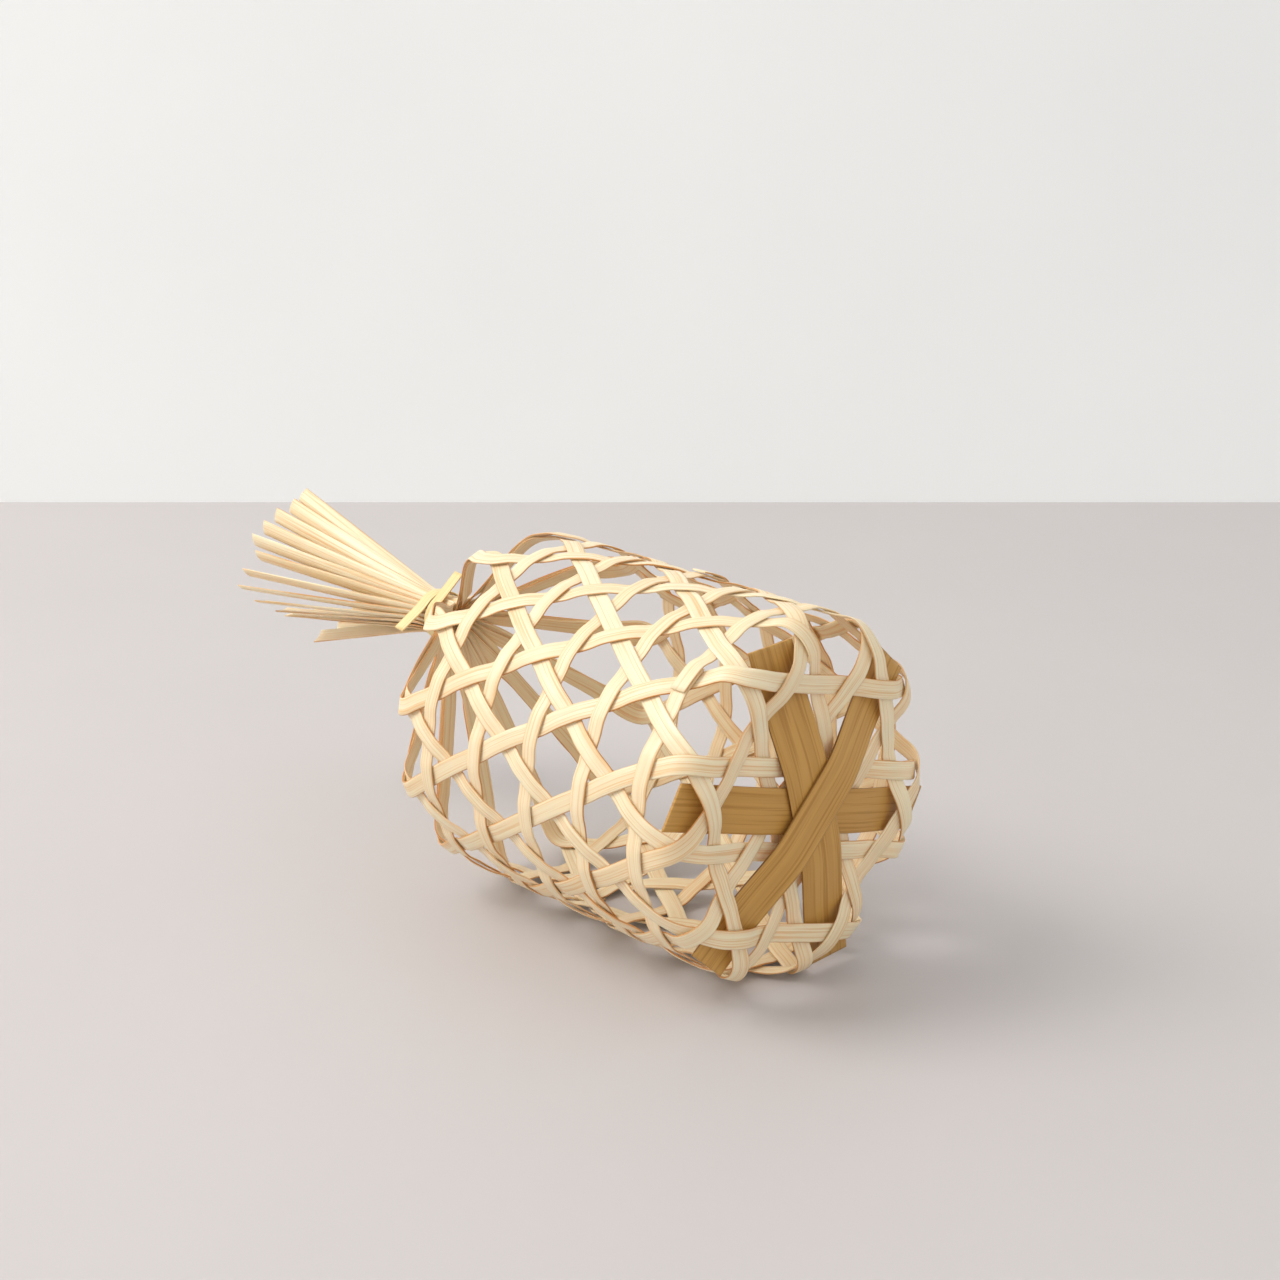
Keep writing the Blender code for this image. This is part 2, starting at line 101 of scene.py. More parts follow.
LIE_ANGLE = 15.0

# %% What follows from them
STEP = 15.0
WALL_RADIUS = 24 * STRIP_SPACING / math.sqrt(3) / (2 * math.pi) * 0.9767
WEAVE = (STRIP_THICK + WEAVE_GAP) / 2
WALL_LEAN = math.atan2(HOOP_RISE, WALL_RADIUS * math.radians(STEP))
HOLD = 0.45 * STRIP_WIDTH / math.tan(WALL_LEAN / 2)
EDGE_STAND = 1.4
FLAT_RADIUS = WALL_RADIUS - EDGE_RADIUS
EDGE_LENGTH = EDGE_RADIUS * math.pi / 2
WALL_START = FLAT_RADIUS + EDGE_LENGTH
LAST_CROSSING = FIRST_HOOP_HEIGHT + (HOOP_COUNT - 1) * HOOP_RISE + LAST_CROSSING_RISE
SHOULDER_START = LAST_CROSSING + SHOULDER_RISE
NECK_START = LAST_CROSSING + CONE_LENGTH
NECK_END = NECK_START + NECK_LENGTH
GATHER_RUN = 0.87 * STRIP_SPACING
GATHER_SWAY = math.tan(math.radians(30)) * GATHER_RUN / WALL_RADIUS
UP = math.radians(90 + LIE_ANGLE)
LIFT_WAY = np.array([math.cos(UP), math.sin(UP), 0.0])
PACK_RADIUS = 24 * (STRIP_THICK + NECK_GAP) / (2 * math.pi)
NECK_MIDDLE = PACK_RADIUS * math.sqrt(1 + STRIP_WIDTH / PACK_RADIUS)
NECK_OUTSIDE = PACK_RADIUS * math.sqrt(1 + 2 * STRIP_WIDTH / PACK_RADIUS)
PARTED = NECK_MIDDLE + 0.068 * WALL_RADIUS
PAIRED = NECK_MIDDLE + 0.273 * WALL_RADIUS
print("wall radius", round(WALL_RADIUS * 1000, 1), "mm, neck from", round(NECK_START * 1000, 1))

# %% [markdown]
# ## The skin of the basket
# Every strip lies close to one imaginary skin: flat over the base, round at the edge, straight
# up the wall, in at the shoulder, and up to the neck, which stands above the basket's axis
# although the basket lies down. The skin is a formula, so any strip can ask
# where it is and which way is out. Modelling a surface mesh and snapping to it would do as
# well, but a formula gives smooth normals at any point.

# %% Helpers for lengths and directions
def clamp(x):
    return min(max(x, 0.0), 1.0)


def eased(x, ease):
    """A straight ramp that starts with a curve of this length."""
    if x <= 0:
        return 0.0
    if x < ease:
        return x * x / (2 * ease)
    return x - ease / 2


def smooth_share(x):
    """Nought to one, leaving and arriving gently."""
    x = clamp(x)
    return x * x * (3 - 2 * x)


def unit(vectors):
    return vectors / np.linalg.norm(vectors, axis=-1, keepdims=True)


# %% The slope of the gathered strips, found by halving
def cone_slope():
    low, high = 0.05, 1.5
    for _ in range(60):
        angle = (low + high) / 2
        radius = WALL_RADIUS - SHOULDER_RADIUS * (1 - math.cos(angle))
        height = SHOULDER_START + SHOULDER_RADIUS * math.sin(angle)
        if radius - NECK_MIDDLE > (NECK_START - NECK_EASE / 2 - height) * math.tan(angle):
            low = angle
        else:
            high = angle
    return angle


CONE_ANGLE = cone_slope()
print("gathered strips lean", round(math.degrees(CONE_ANGLE), 1), "degrees")


# %% Radius and height along the skin
def profile(way):
    """Radius and height, by the way along the skin from the middle of the base."""
    if way <= FLAT_RADIUS:
        return way, 0.0
    if way <= WALL_START:
        turn = (way - FLAT_RADIUS) / EDGE_RADIUS
        return FLAT_RADIUS + EDGE_RADIUS * math.sin(turn), EDGE_RADIUS * (1 - math.cos(turn))
    height = EDGE_RADIUS + way - WALL_START
    if height <= SHOULDER_START:
        return WALL_RADIUS, height
    turn = min((height - SHOULDER_START) / SHOULDER_RADIUS, CONE_ANGLE)
    beyond = height - SHOULDER_START - SHOULDER_RADIUS * turn
    radius = WALL_RADIUS - SHOULDER_RADIUS * (1 - math.cos(turn)) - beyond * math.sin(turn)
    height = SHOULDER_START + SHOULDER_RADIUS * math.sin(turn) + beyond * math.cos(turn)
    return radius, height


def way_at(height):
    """The way along the skin to this height of the wall."""
    return WALL_START + height - EDGE_RADIUS


# %% What takes the basket away from a perfect round
def lift(height):
    """How far the section at this height is carried upwards."""
    start, end = SHOULDER_START, NECK_START - NECK_EASE / 2
    ramp = eased(height - start, NECK_EASE) - eased(height - end + NECK_EASE / 2, NECK_EASE)
    return NECK_LIFT * ramp / (end - start - NECK_EASE / 2)


def bulge(height, angle):
    """The swelling of one side of the wall, and the arch of the strips above the neck."""
    rise = 0.65 + 0.35 * clamp(height / SHOULDER_START) ** 2
    fall = clamp((NECK_START - NECK_EASE - height) / (CONE_LENGTH - NECK_EASE))
    facing = max(math.cos(angle - math.radians(BULGE_SIDE + LIE_ANGLE)), 0.0)
    arch = ARCH * math.sin(math.pi * fall) ** 2 * max(math.cos(angle - UP), 0.0) ** 2
    return BULGE * rise * fall * facing * facing + arch


def push(way, angle):
    """How far the base stands out where a slat end is tucked in."""
    away = (way - math.sqrt(3) * STRIP_SPACING) / (0.36 * STRIP_SPACING)
    return CORNER_PUSH * math.exp(-away * away) * math.cos(3 * angle) ** 2


# %% A point of the skin, and which way is out
def skin_point(way, angle):
    radius, height = profile(way)
    radius += bulge(height, angle) * clamp((way - FLAT_RADIUS) / EDGE_LENGTH)
    height -= push(way, angle)
    spot = np.array([radius * math.cos(angle), radius * math.sin(angle), height])
    return spot + lift(height) * LIFT_WAY


def skin(way, angle):
    round_it = skin_point(way, angle + 0.002) - skin_point(way, angle - 0.002)
    along_it = skin_point(way + 0.0001, angle) - skin_point(way - 0.0001, angle)
    return skin_point(way, angle), unit(np.cross(round_it, along_it))


# %% [markdown]
# ## From the basket's own axes to the table
# The weave is worked out standing on its base. The basket then lies down with its axis along
# Y, turned a little so that it rests between two rows of crossings. The outer slat is the
# outermost piece of the base and its middle is on the axis, so its solid says where both are.

# %% Laying it down
slat_low, slat_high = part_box("base_slat_outer")
SLAT_CLEAR = WEAVE + STRIP_THICK / 2 + WEAVE_GAP + SLAT_THICK / 2
SLAT_STACK = SLAT_CLEAR + 2 * (SLAT_THICK + SLAT_GAP) + SLAT_THICK / 2
AXIS_X = (slat_low[0] + slat_high[0]) / 2
AXIS_Z = (slat_low[2] + slat_high[2]) / 2
BASE_Y = slat_low[1] + SLAT_STACK


def laid_down(points):
    turn = math.radians(-LIE_ANGLE)
    x = points[..., 0] * math.cos(turn) - points[..., 1] * math.sin(turn)
    z = points[..., 0] * math.sin(turn) + points[..., 1] * math.cos(turn)
    return np.stack([x + AXIS_X, points[..., 2] + BASE_Y, z + AXIS_Z], axis=-1)


print("axis at", round(AXIS_X, 5), round(AXIS_Z, 5), "base at", round(BASE_Y, 5))

# %% [markdown]
# ## A strip as rows of points
# Split bamboo is a thin flat band with softened edges. Each strip is described by rows: the
# points across it, one row after another along it. Rows are easy to bend, to smooth and to
# lengthen, and only at the end do they get a thickness. A curve object with a flat bevel would
# be quicker, but it can't twist a band the way the weave does.

# %% Points across a strip, and how far its edges are rounded off
SHARES = np.array([-1.0, -0.92, -0.55, 0.0, 0.55, 0.92, 1.0])
ROUNDING = np.array([0.35, 0.85, 1.0, 1.0, 1.0, 0.85, 0.35])
ROW_STEP = 0.0011


def row_across(centre, along, normal, width):
    across = unit(np.cross(normal, along))
    return centre + SHARES[:, None] * across * width / 2


# %% Smoothing rows and spacing them evenly
def softened(rows, times):
    """Rows with the sharpest bends taken out, their two ends kept."""
    for _ in range(times):
        rows[1:-1] = 0.25 * rows[:-2] + 0.5 * rows[1:-1] + 0.25 * rows[2:]
    return rows


def spaced(rows, step):
    """The same band with a row at every step, on smooth curves through the old rows."""
    middle = rows[:, rows.shape[1] // 2]
    way = np.concatenate([[0], np.cumsum(np.linalg.norm(np.diff(middle, axis=0), axis=1))])
    slopes = np.gradient(rows, way, axis=0)
    spots = np.linspace(0, way[-1], int(way[-1] / step) + 1)
    place = np.clip(np.searchsorted(way, spots, side="right") - 1, 0, len(way) - 2)
    span = way[place + 1] - way[place]
    t = ((spots - way[place]) / span)[:, None, None]
    span = span[:, None, None]
    first, second = rows[place], rows[place + 1]
    leaving, arriving = slopes[place] * span, slopes[place + 1] * span
    part_one = (2 * t**3 - 3 * t**2 + 1) * first + (t**3 - 2 * t**2 + t) * leaving
    part_two = (3 * t**2 - 2 * t**3) * second + (t**3 - t**2) * arriving
    return part_one + part_two


# %% [markdown]
# ## From rows to a solid strip
# The band gets a thickness on both sides of its rows. The texture coordinates run from edge to
# edge across the strip and in metres along it, starting at a different place on each strip, so
# that no two have the same grain. A tone is stored with each point: every strip of bamboo
# is a little paler or darker than its neighbour.

# %% One closed band with its grain coordinates and tone
def band(name, rows, thick, seed, node, material):
    rows = laid_down(rows)
    out = unit(np.cross(np.gradient(rows, axis=0), np.gradient(rows, axis=1)))
    across = rows.shape[1]
    shares = SHARES if across == len(SHARES) else np.linspace(-1, 1, across)
    half = (thick / 2 * np.interp(shares, SHARES, ROUNDING))[None, :, None]
    ring = np.concatenate([rows + out * half, (rows - out * half)[:, ::-1]], axis=1)
    count, around = ring.shape[:2]
    number = np.arange(count * around).reshape(count, around)
    beside = np.roll(number, -1, axis=1)
    sides = np.stack([number[:-1], number[1:], beside[1:], beside[:-1]], axis=-1).reshape(-1, 4)
    j = np.arange(across - 1)
    start = np.stack([number[0, j], number[0, j + 1], number[0, around - 2 - j],
                      number[0, around - 1 - j]], axis=-1)
    end = np.stack([number[-1, j], number[-1, around - 1 - j], number[-1, around - 2 - j],
                    number[-1, j + 1]], axis=-1)
    faces = np.concatenate([sides, start, end])

    mesh = bpy.data.meshes.new(name)
    mesh.from_pydata(ring.reshape(-1, 3).tolist(), [], faces.tolist())
    chance = np.random.default_rng(seed)
    middle = rows[:, rows.shape[1] // 2]
    way = np.concatenate([[0], np.cumsum(np.linalg.norm(np.diff(middle, axis=0), axis=1))])
    from_edge = (shares + 1) / 2
    u = np.tile(np.concatenate([from_edge, from_edge[::-1]]), count)
    v = np.repeat(way + chance.uniform(0, 9), around)
    corners = np.empty(len(mesh.loops), dtype=np.int32)
    mesh.loops.foreach_get("vertex_index", corners)
    layer = mesh.uv_layers.new(name="grain")
    layer.data.foreach_set("uv", np.stack([u[corners], v[corners]], axis=-1).ravel())

    tone = mesh.attributes.new("tone", "FLOAT", "POINT")
    slow = np.sin(way * chance.uniform(18, 34) + chance.uniform(0, 6)) * 0.12
    tones = np.repeat(np.clip(chance.uniform(0.2, 0.8) + slow, 0, 1), around)
    tone.data.foreach_set("value", tones.astype(np.float32))
    mesh.polygons.foreach_set("use_smooth", [True] * len(mesh.polygons))
    mesh.materials.append(material)
    mesh.update()
    thing = bpy.data.objects.new(name, mesh)
    bpy.context.scene.collection.objects.link(thing)
    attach(thing, "root")
    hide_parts(node)
    return thing


# %% [markdown]
# ## Bamboo
# Split bamboo shows fine lengthwise fibres, broader pale and dark streaks, and darker
# edges where the knife went through. It is thin enough for light to come through, which
# is why the inside of a basket glows. The fibres are noise drawn out many times along the
# strip; an image of bamboo would repeat, and the noise doesn't.

# %% Colours by their screen values
def tint(red, green, blue):
    """A colour given as on a screen, turned into the light values that shaders use."""
    parts = []
    for part in (red, green, blue):
        part = part / 255
        parts.append(part / 12.92 if part <= 0.04045 else ((part + 0.055) / 1.055) ** 2.4)
    return (*parts, 1.0)


# %% A small helper to wire shader nodes
def add_node(tree, kind, inputs=None, **settings):
    made = tree.nodes.new(kind)
    for key, value in settings.items():
        setattr(made, key, value)
    for key, value in (inputs or {}).items():
        socket = made.inputs[key]
        if isinstance(value, bpy.types.NodeSocket):
            tree.links.new(value, socket)
        else:
            socket.default_value = value
    return made


def mixed(tree, share, first, second, how="MIX"):
    made = add_node(tree, "ShaderNodeMix", data_type="RGBA", blend_type=how)
    for place, value in ((0, share), (6, first), (7, second)):
        if isinstance(value, bpy.types.NodeSocket):
            tree.links.new(value, made.inputs[place])
        else:
            made.inputs[place].default_value = value
    return made.outputs[2]


def between(tree, value, low, high, to_low=0.0, to_high=1.0):
    """The value's place between two limits, eased."""
    made = add_node(tree, "ShaderNodeMapRange", interpolation_type="SMOOTHSTEP")
    tree.links.new(value, made.inputs["Value"])
    for name, number in (("From Min", low), ("From Max", high),
                         ("To Min", to_low), ("To Max", to_high)):
        made.inputs[name].default_value = number
    return made.outputs["Result"]


# %% Fibres: noise stretched along the strip
def fibres(tree, width, per_metre, stretch, detail=3.0):
    """Noise with this many fibres in a metre across, drawn out along the strip."""
    coordinates = add_node(tree, "ShaderNodeUVMap", uv_map="grain")
    scaled = add_node(tree, "ShaderNodeMapping", {
        "Vector": coordinates.outputs["UV"],
        "Scale": (width * per_metre, per_metre / stretch, 1.0)})
    noise = add_node(tree, "ShaderNodeTexNoise", {
        "Vector": scaled.outputs["Vector"], "Scale": 1.0, "Detail": detail, "Roughness": 0.6},
        noise_dimensions="2D")
    return noise.outputs["Fac"]


# %% The bamboo finish
def bamboo(name, width, pale, deep, edge, roughness, glow, fibre_depth):
    material = bpy.data.materials.new(name)
    material.use_nodes = True
    tree = material.node_tree
    shader = tree.nodes["Principled BSDF"]
    fine = fibres(tree, width, 2600, 120)
    broad = fibres(tree, width, 700, 60)
    tone = add_node(tree, "ShaderNodeAttribute", attribute_name="tone").outputs["Fac"]

    streaks = between(tree, broad, 0.35, 0.68)
    lines = between(tree, fine, 0.50, 0.66)
    body = mixed(tree, streaks, pale, mixed(tree, 0.28, pale, deep))
    body = mixed(tree, between(tree, tone, 0.0, 1.0, 0.0, 0.45), body,
                 mixed(tree, 0.5, pale, deep))
    scored = add_node(tree, "ShaderNodeMath", {0: lines, 1: 0.6}, operation="MULTIPLY")
    body = mixed(tree, scored.outputs[0], body, deep)

    coordinates = add_node(tree, "ShaderNodeUVMap", uv_map="grain")
    parts = add_node(tree, "ShaderNodeSeparateXYZ", {0: coordinates.outputs["UV"]})
    off_middle = add_node(tree, "ShaderNodeMath", {0: parts.outputs["X"], 1: 0.5},
                          operation="SUBTRACT")
    outwards = add_node(tree, "ShaderNodeMath", {0: off_middle.outputs[0]},
                        operation="ABSOLUTE")
    at_edge = between(tree, outwards.outputs[0], 0.44, 0.5)
    worn = add_node(tree, "ShaderNodeMath", {0: at_edge, 1: between(tree, broad, 0.3, 0.6)},
                    operation="MULTIPLY")
    body = mixed(tree, worn.outputs[0], body, edge)
    tree.links.new(body, shader.inputs["Base Color"])

    tree.links.new(between(tree, fine, 0.3, 0.7, roughness - 0.07, roughness + 0.1),
                   shader.inputs["Roughness"])
    shader.inputs["Subsurface Weight"].default_value = glow
    shader.inputs["Subsurface Radius"].default_value = (1.0, 0.82, 0.62)
    shader.inputs["Subsurface Scale"].default_value = 0.0006
    shader.inputs["IOR"].default_value = 1.45
    relief = add_node(tree, "ShaderNodeBump", {
        "Height": fine, "Strength": 0.5, "Distance": fibre_depth})
    tree.links.new(relief.outputs["Normal"], shader.inputs["Normal"])
    return material


# %% The four finishes of this basket
pale_bamboo = bamboo("pale_strip_bamboo", STRIP_WIDTH, tint(242, 229, 197),
                     tint(222, 174, 108), tint(196, 134, 66), 0.42, 0.5, 0.00004)
hoop_bamboo = bamboo("pale_hoop_bamboo", STRIP_WIDTH, tint(244, 232, 202),
                     tint(226, 180, 116), tint(200, 140, 72), 0.42, 0.5, 0.00004)
slat_bamboo = bamboo("dark_slat_bamboo", 0.0105, tint(206, 158, 82),
                     tint(164, 112, 42), tint(104, 62, 22), 0.42, 0.1, 0.00005)
tie_bamboo = bamboo("tie_bamboo", TIE_WIDTH, tint(242, 222, 168),
                    tint(218, 180, 108), tint(176, 124, 58), 0.40, 0.5, 0.00004)
print("finishes:", [m.name for m in (pale_bamboo, hoop_bamboo, slat_bamboo, tie_bamboo)])

# %% [markdown]
# ## Which strip passes over which
# On the base, seen from outside, the level strips pass over the falling ones, those over the
# rising ones, and those over the level ones. On the wall each strip goes in and out of the
# hoops. A strip is held at its height while it crosses another and changes over in between,
# so two strips never run through each other.

# %% The three directions of the base
DIRECTIONS = {"level": 0.0, "rising": 60.0, "falling": 120.0}
OVER = {("level", "falling"), ("falling", "rising"), ("rising", "level")}
OFFSETS = {1: 1.5, 2: 0.5, 3: -0.5, 4: -1.5}

# %% Where each end meets the first hoop, in degrees, and which way it climbs
ENDS = {
    ("level", 1): ((142.5, 1), (37.5, -1)),
    ("level", 2): ((172.5, 1), (7.5, -1)),
    ("level", 3): ((187.5, -1), (352.5, 1)),
    ("level", 4): ((217.5, -1), (322.5, 1)),
    ("rising", 1): ((202.5, 1), (97.5, -1)),
    ("rising", 2): ((232.5, 1), (67.5, -1)),
    ("rising", 3): ((247.5, -1), (52.5, 1)),
    ("rising", 4): ((277.5, -1), (22.5, 1)),
    ("falling", 1): ((262.5, 1), (157.5, -1)),
    ("falling", 2): ((292.5, 1), (127.5, -1)),
    ("falling", 3): ((307.5, -1), (112.5, 1)),
    ("falling", 4): ((337.5, -1), (82.5, 1)),
}


# %% Crossings of one strip on the base
def line_of(family):
    angle = math.radians(DIRECTIONS[family])
    along = np.array([math.cos(angle), math.sin(angle)])
    return along, np.array([-along[1], along[0]])


def base_crossings(family, number):
    along, aside = line_of(family)
    here = OFFSETS[number] * STRIP_SPACING
    found = []
    for other in DIRECTIONS:
        if other == family:
            continue
        other_aside = line_of(other)[1]
        for offset in OFFSETS.values():
            gap = offset * STRIP_SPACING - here * (aside @ other_aside)
            distance = gap / (along @ other_aside)
            if math.hypot(distance, here) < 2.2 * STRIP_SPACING:
                found.append((distance, 1 if (family, other) in OVER else -1))
    return sorted(found)


# %% The path of half a strip, from the middle of the base to the shoulder
def half_strip(family, number, side):
    along, aside = line_of(family)
    along = along * side
    here = OFFSETS[number] * STRIP_SPACING * aside
    table = sorted((d * side, over) for d, over in base_crossings(family, number) if d * side > 0)
    reach, over = table[-1]
    table[-1] = (reach, over * EDGE_STAND)
    end = here + reach * along
    first_angle, lean = ENDS[(family, number)][0 if side < 0 else 1]
    knots = [(reach, math.hypot(*end), math.atan2(end[1], end[0]))]
    rows = [0.5 * k for k in range(2, 2 * HOOP_COUNT + 2)]
    for row in rows:
        height = FIRST_HOOP_HEIGHT + (row - 1) * HOOP_RISE
        if row == rows[-1]:
            height = LAST_CROSSING
        target = math.radians(first_angle + lean * STEP * (row - 1))
        add_knot(knots, way_at(height), target)
        over = lean if row != int(row) else -lean
        table.append((knots[-1][0], over * EDGE_STAND if row == rows[-1] else over))
    knots.append((knots[-1][0] + GATHER_RUN, knots[-1][1] + GATHER_RUN, knots[-1][2]))
    return here, along, knots, lean, table


def add_knot(knots, way, target):
    turn = (target - knots[-1][2] + math.pi) % (2 * math.pi) - math.pi
    length = math.hypot(way - knots[-1][1], WALL_RADIUS * turn)
    knots.append((knots[-1][0] + length, way, knots[-1][2] + turn))


# %% Where a strip is after some distance, and how far it stands off the weave's middle
def on_path(here, along, knots, lean, s):
    if s <= knots[0][0]:
        x, y = here + s * along
        return math.hypot(x, y), math.atan2(y, x)
    s = min(s, knots[-1][0] + 0.02)
    for (s0, way0, a0), (s1, way1, a1) in zip(knots, knots[1:]):
        if s <= s1:
            share = (s - s0) / (s1 - s0)
            sway = GATHER_SWAY * share * (1 - share) ** 2 if s1 == knots[-1][0] else 0.0
            return way0 + share * (way1 - way0), a0 + share * (a1 - a0) + lean * sway
    return way1 + s - s1, a1


def held(s, marks, values):
    """The values at the marks, with gentle changes in between."""
    place = int(np.clip(np.searchsorted(marks, s) - 1, 0, len(marks) - 2))
    share = (s - marks[place]) / (marks[place + 1] - marks[place])
    return values[place] + (values[place + 1] - values[place]) * smooth_share(share)


def stand_off(table, s):
    marks, values = [], []
    for distance, over in table:
        marks += [distance - HOLD, distance + HOLD]
        values += [over * WEAVE, over * WEAVE]
    marks.append(marks[-1] + STRIP_WIDTH)
    values.append(math.copysign(WEAVE, values[-1]))
    return held(s, marks, values)


# %% Rows of the woven half
def woven_rows(family, number, side):
    here, along, knots, lean, table = half_strip(family, number, side)
    made = []
    for s in np.arange(ROW_STEP / 2, knots[-1][0], ROW_STEP):
        point, normal = skin(*on_path(here, along, knots, lean, s))
        ahead = skin_point(*on_path(here, along, knots, lean, s + 0.0016))
        behind = skin_point(*on_path(here, along, knots, lean, s - 0.0016))
        centre = point + normal * stand_off(table, s)
        made.append(row_across(centre, unit(ahead - behind), normal, STRIP_WIDTH))
    return np.array(made), knots[-1][2], lean


# %% [markdown]
# ## The gathered neck
# Two strips that cross in the last row run on towards the neck as a pair, one on the other.
# Twenty-four strip ends then have to pass through a neck ten millimetres thick, so each pair
# parts and all pack like the blades of a pinwheel: each lies along the involute of a small
# circle, and neighbours stay the same distance apart all the way out. Beyond the tie the ends
# spring apart again, some further than others.

# %% How the pinwheel opens, and how the tuft's ends differ
OPEN_SHARE = 0.85
OPEN_RUN = 0.003
TUFT_EASE = 0.004
GATHER_SKIPPED = 0.18
GATHER_ROWS = 60
LENGTH_SIDE_SHARE = 0.12
LENGTH_CHANCE_SHARE = 0.10
GROUP_SIZE = 6
FLARE_LEAST = 0.50
FLARE_EACH = 0.26


# %% One row across a gathered strip
def involute(base, sweep):
    return base * math.sqrt(1 + sweep * sweep), sweep - math.atan(sweep)


def blade(middle, angle, lean, height, outwards):
    spread = min(1.0, (middle - NECK_MIDDLE) / OPEN_RUN)
    together = clamp((middle - PARTED) / (PAIRED - PARTED)) if height < NECK_START else 0.0
    base = PACK_RADIUS * (1 + OPEN_SHARE * spread)
    if height > NECK_END:
        base = (math.sqrt(STRIP_WIDTH**2 + 4 * middle**2) - STRIP_WIDTH) / 2
    sweep = math.sqrt((middle / base) ** 2 - 1)
    aside = lean * math.radians(STEP / 2)
    turn = angle + aside + involute(base, sweep)[1]
    slid = sweep + aside * together * (1 + 1 / sweep**2)
    aim = angle + aside * (1 - together)
    outward = np.array([math.cos(aim), math.sin(aim), 0.0])
    row = []
    for share in SHARES:
        radius, local = involute(base, math.sqrt(max(slid**2 + share * STRIP_WIDTH / base, 0.0)))
        flat = np.array([radius * math.cos(turn - local), radius * math.sin(turn - local), height])
        row.append(flat + outward * outwards + lift(height) * LIFT_WAY)
    return np.array(row)


# %% Length and spread of each tuft end
def tuft_end(angle):
    place = int(round((math.degrees(angle) % 360 - 7.5) / 15)) % 24
    noise = math.sin(place * 12.9898) * 43758.5453
    noise = noise - math.floor(noise)
    by_side = 1 - LENGTH_SIDE_SHARE + LENGTH_SIDE_SHARE * math.cos(angle - UP - 0.5)
    by_chance = 1 - LENGTH_CHANCE_SHARE + LENGTH_CHANCE_SHARE * noise
    group = GROUP_SIZE - 1 - place % GROUP_SIZE
    return TUFT_LENGTH * by_side * by_chance, TUFT_FLARE * (FLARE_LEAST + FLARE_EACH * group)


# %% Rows from the shoulder through the neck to the end of the tuft
def gathered_rows(angle, lean):
    length, flare = tuft_end(angle + lean * math.radians(STEP / 2))
    slope = math.tan(CONE_ANGLE)
    start = profile(way_at(LAST_CROSSING) + GATHER_RUN)[1]
    start += GATHER_SKIPPED * (NECK_START - start)
    made = []
    for height in np.linspace(start, NECK_END + length, GATHER_ROWS):
        beyond = eased(height - NECK_END, TUFT_EASE)
        middle = NECK_MIDDLE + slope * eased(NECK_START - height, NECK_EASE)
        outwards = flare * beyond + bulge(height, angle)
        made.append(blade(middle + TUFT_OPENING * beyond, angle, lean, height, outwards))
    return np.array(made)


# %% [markdown]
# ## The twelve long strips
# Each is one piece from tuft end to tuft end: in through the neck, down the wall, across the
# base and back up. The two halves are made from the middle outwards and joined.

# %% Making the long strips
def long_strip(family, number):
    halves = []
    for side in (-1, 1):
        woven, angle, lean = woven_rows(family, number, side)
        halves.append(np.concatenate([woven, gathered_rows(angle, lean)]))
    rows = np.concatenate([halves[0][::-1, ::-1], halves[1]])
    return softened(spaced(rows, ROW_STEP), 2)


strips = []
for family in DIRECTIONS:
    for number in OFFSETS:
        node = f"strip_{family}_{number}"
        strips.append(band("fine_" + node, long_strip(family, number), STRIP_THICK,
                           10 + len(strips), node, pale_bamboo))
print("long strips:", len(strips), "with", len(strips[0].data.vertices), "points in the first")

# %% [markdown]
# ## The hoops
# A hoop is a strip laid round the wall, in and out of the climbing strips. Its end is lapped a
# few millimetres over its start, on the outside of one crossing.

# %% Making the hoops
SEAMS = {1: 4, 2: 9, 3: 1, 4: 7, 5: 11}


def hoop(number):
    height = FIRST_HOOP_HEIGHT + (number - 1) * HOOP_RISE
    start = 22.5 + 15 * (number - 1) + 30 * SEAMS[number]
    half = math.degrees(HOLD / WALL_RADIUS)
    end_layer = WEAVE + STRIP_THICK + WEAVE_GAP
    marks = [(start - half - 0.2, WEAVE), (start + half, WEAVE)]
    for k in range(1, 24):
        over = WEAVE if k % 2 == 0 else -WEAVE
        marks += [(start + STEP * k - half, over), (start + STEP * k + half, over)]
    marks[-1] = (marks[-1][0] + 0.5, marks[-1][1])
    marks += [(start + 360 - half - 0.4, end_layer), (start + 360 + half + 0.4, end_layer)]
    places, offs = zip(*marks)
    made = []
    for degrees in np.arange(places[0], places[-1], 1.6):
        a = math.radians(degrees)
        point, out = skin(way_at(height), a)
        way = unit(skin_point(way_at(height), a + 0.01) - skin_point(way_at(height), a - 0.01))
        made.append(row_across(point + out * held(degrees, places, offs), way, out, STRIP_WIDTH))
    return softened(spaced(np.array(made), ROW_STEP), 1)


hoops = []
for number in range(1, HOOP_COUNT + 1):
    node = f"hoop_{number}"
    hoops.append(band("fine_" + node, hoop(number), STRIP_THICK, 40 + number, node,
                      hoop_bamboo))
print("hoops:", len(hoops))

# %% [markdown]
# ## The slats
# Three wide slats of darker bamboo lie across each other outside the weave, and their ends are
# tucked inside it, under the strips that outline the base. The other two pass behind the
# outermost.

# %% Making the slats
SLATS = {"inner": 0.0, "middle": 120.0, "outer": 60.0}
SLAT_SHARES = np.array([-1.0, -0.97, -0.85, -0.5, 0.0, 0.5, 0.85, 0.97, 1.0])
SLAT_ROWS = 100
SLAT_SMOOTHING = 20


